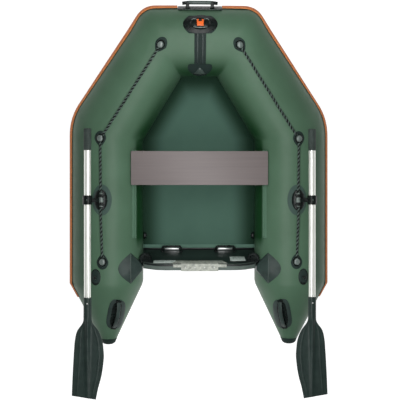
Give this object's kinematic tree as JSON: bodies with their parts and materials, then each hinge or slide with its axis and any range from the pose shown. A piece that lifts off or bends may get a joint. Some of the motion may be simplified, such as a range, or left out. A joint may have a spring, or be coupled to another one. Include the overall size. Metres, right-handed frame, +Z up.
{
  "type": "inflatable dinghy",
  "caption": "Small inflatable dinghy with a bowed tube hull, stern cones, a raked motor transom, a sliding bench seat, lifelines and a pair of oars stowed along its sides.",
  "frame": {"origin": "middle of the overall length and beam, on the ground under the side tubes", "axes": "+Y towards the bow, +X to starboard, +Z up"},
  "size_m": [1.4372, 2.1035, 0.5195],
  "materials": {
    "hull_pvc": "satin green PVC-coated cloth, inflated hard",
    "floor_pvc": "green PVC-coated floor cloth, a little matter than the tubes",
    "rub_strake_rubber": "orange extruded PVC rubbing strake",
    "black_nylon": "moulded black nylon and black PVC fittings",
    "grey_nylon": "moulded dark grey PVC, finely textured",
    "latch_nylon": "moulded orange nylon",
    "black_webbing": "ribbed black webbing",
    "braided_rope": "laid black rope, 11 mm",
    "oar_aluminium": "satin anodised aluminium tube",
    "grip_foam": "dark grey foam grip",
    "blade_plastic": "moulded dark polypropylene",
    "button_steel": "stainless spring button",
    "seat_plywood": "brown-grey laminated waterproof plywood",
    "transom_plywood": "black film-faced waterproof plywood",
    "trim_vinyl": "grey extruded PVC edging",
    "motor_pad_plastic": "light grey moulded plastic, scuffed"
  },
  "bodies": {
    "hull": {"bow_tube": "hull_pvc", "floor_sheet": "floor_pvc", "bow_handle": "black_nylon", "bow_fitting": "black_nylon", "bow_strap": "black_webbing", "strap_anchor_patch": "black_nylon", "transom_board": "transom_plywood", "transom_trim": "trim_vinyl", "motor_saddle": "motor_pad_plastic", "motor_outer_pad": "motor_pad_plastic", "port_bow_quarter": "hull_pvc", "port_side_tube": "hull_pvc", "port_stern_cone": "hull_pvc", "port_rub_strake": "rub_strake_rubber", "port_lifeline": "braided_rope", "port_front_rope_holder": "grey_nylon", "port_middle_rope_holder": "grey_nylon", "port_rear_rope_holder": "grey_nylon", "port_oarlock_base": "black_nylon", "port_oar_stow_post": "black_nylon", "port_seat_rail": "hull_pvc", "port_transom_bracket": "grey_nylon", "port_transom_handle": "black_nylon", "port_cone_handle": "black_nylon", "port_valve_body": "grey_nylon", "starboard_bow_quarter": "hull_pvc", "starboard_side_tube": "hull_pvc", "starboard_stern_cone": "hull_pvc", "starboard_rub_strake": "rub_strake_rubber", "starboard_lifeline": "braided_rope", "starboard_front_rope_holder": "grey_nylon", "starboard_middle_rope_holder": "grey_nylon", "starboard_rear_rope_holder": "grey_nylon", "starboard_oarlock_base": "black_nylon", "starboard_oar_stow_post": "black_nylon", "starboard_seat_rail": "hull_pvc", "starboard_transom_bracket": "grey_nylon", "starboard_transom_handle": "black_nylon", "starboard_cone_handle": "black_nylon", "starboard_valve_body": "grey_nylon"},
    "seat": {"seat_board": "seat_plywood", "port_seat_runner": "grey_nylon", "starboard_seat_runner": "grey_nylon"},
    "bow_latch": {"bow_latch": "latch_nylon"},
    "port_oarlock": {"port_oarlock_arm": "black_nylon"},
    "port_oar": {"port_oar_collar": "black_nylon", "port_oar_shaft": "oar_aluminium", "port_oar_grip": "grip_foam", "port_oar_blade": "blade_plastic"},
    "port_oar_button": {"port_oar_button": "button_steel"},
    "port_valve_cap": {"port_valve_cap": "black_nylon"},
    "starboard_oarlock": {"starboard_oarlock_arm": "black_nylon"},
    "starboard_oar": {"starboard_oar_collar": "black_nylon", "starboard_oar_shaft": "oar_aluminium", "starboard_oar_grip": "grip_foam", "starboard_oar_blade": "blade_plastic"},
    "starboard_oar_button": {"starboard_oar_button": "button_steel"},
    "starboard_valve_cap": {"starboard_valve_cap": "black_nylon"}
  },
  "joints": [
    {"name": "seat_slide", "type": "slide", "parent": "hull", "child": "seat", "axis": [0, -1, 0], "range_m": [0, 0.28]},
    {"name": "bow_latch_lift", "type": "hinge", "parent": "hull", "child": "bow_latch", "pos_m": [0, 0.90176, 0.50875], "axis": [1, 0, 0], "range_deg": [0, 60]},
    {"name": "port_oarlock_lift", "type": "hinge", "parent": "hull", "child": "port_oarlock", "pos_m": [-0.523, -0.0074, 0.43157], "axis": [0, 1, 0], "range_deg": [-15, 12]},
    {"name": "port_oar_swing", "type": "hinge", "parent": "port_oarlock", "child": "port_oar", "pos_m": [-0.59, -0.0074, 0.47457], "axis": [0, 0, -1], "range_deg": [0, 130]},
    {"name": "port_oar_button_press", "type": "slide", "parent": "port_oar", "child": "port_oar_button", "axis": [0, 0, -1], "range_m": [0, 0.003], "stiffness_N_per_m": 800},
    {"name": "port_valve_cap_turn", "type": "hinge", "parent": "hull", "child": "port_valve_cap", "pos_m": [-0.30263, -0.2074, 0.16265], "axis": [0.9848, 0, -0.1736], "range_deg": [0, 90]},
    {"name": "starboard_oarlock_lift", "type": "hinge", "parent": "hull", "child": "starboard_oarlock", "pos_m": [0.523, -0.0074, 0.43157], "axis": [0, -1, 0], "range_deg": [-15, 12]},
    {"name": "starboard_oar_swing", "type": "hinge", "parent": "starboard_oarlock", "child": "starboard_oar", "pos_m": [0.59, -0.0074, 0.47457], "axis": [0, 0, 1], "range_deg": [0, 130]},
    {"name": "starboard_oar_button_press", "type": "slide", "parent": "starboard_oar", "child": "starboard_oar_button", "axis": [0, 0, -1], "range_m": [0, 0.003], "stiffness_N_per_m": 800},
    {"name": "starboard_valve_cap_turn", "type": "hinge", "parent": "hull", "child": "starboard_valve_cap", "pos_m": [0.30263, -0.2074, 0.16265], "axis": [-0.9848, 0, -0.1736], "range_deg": [0, 90]}
  ]
}
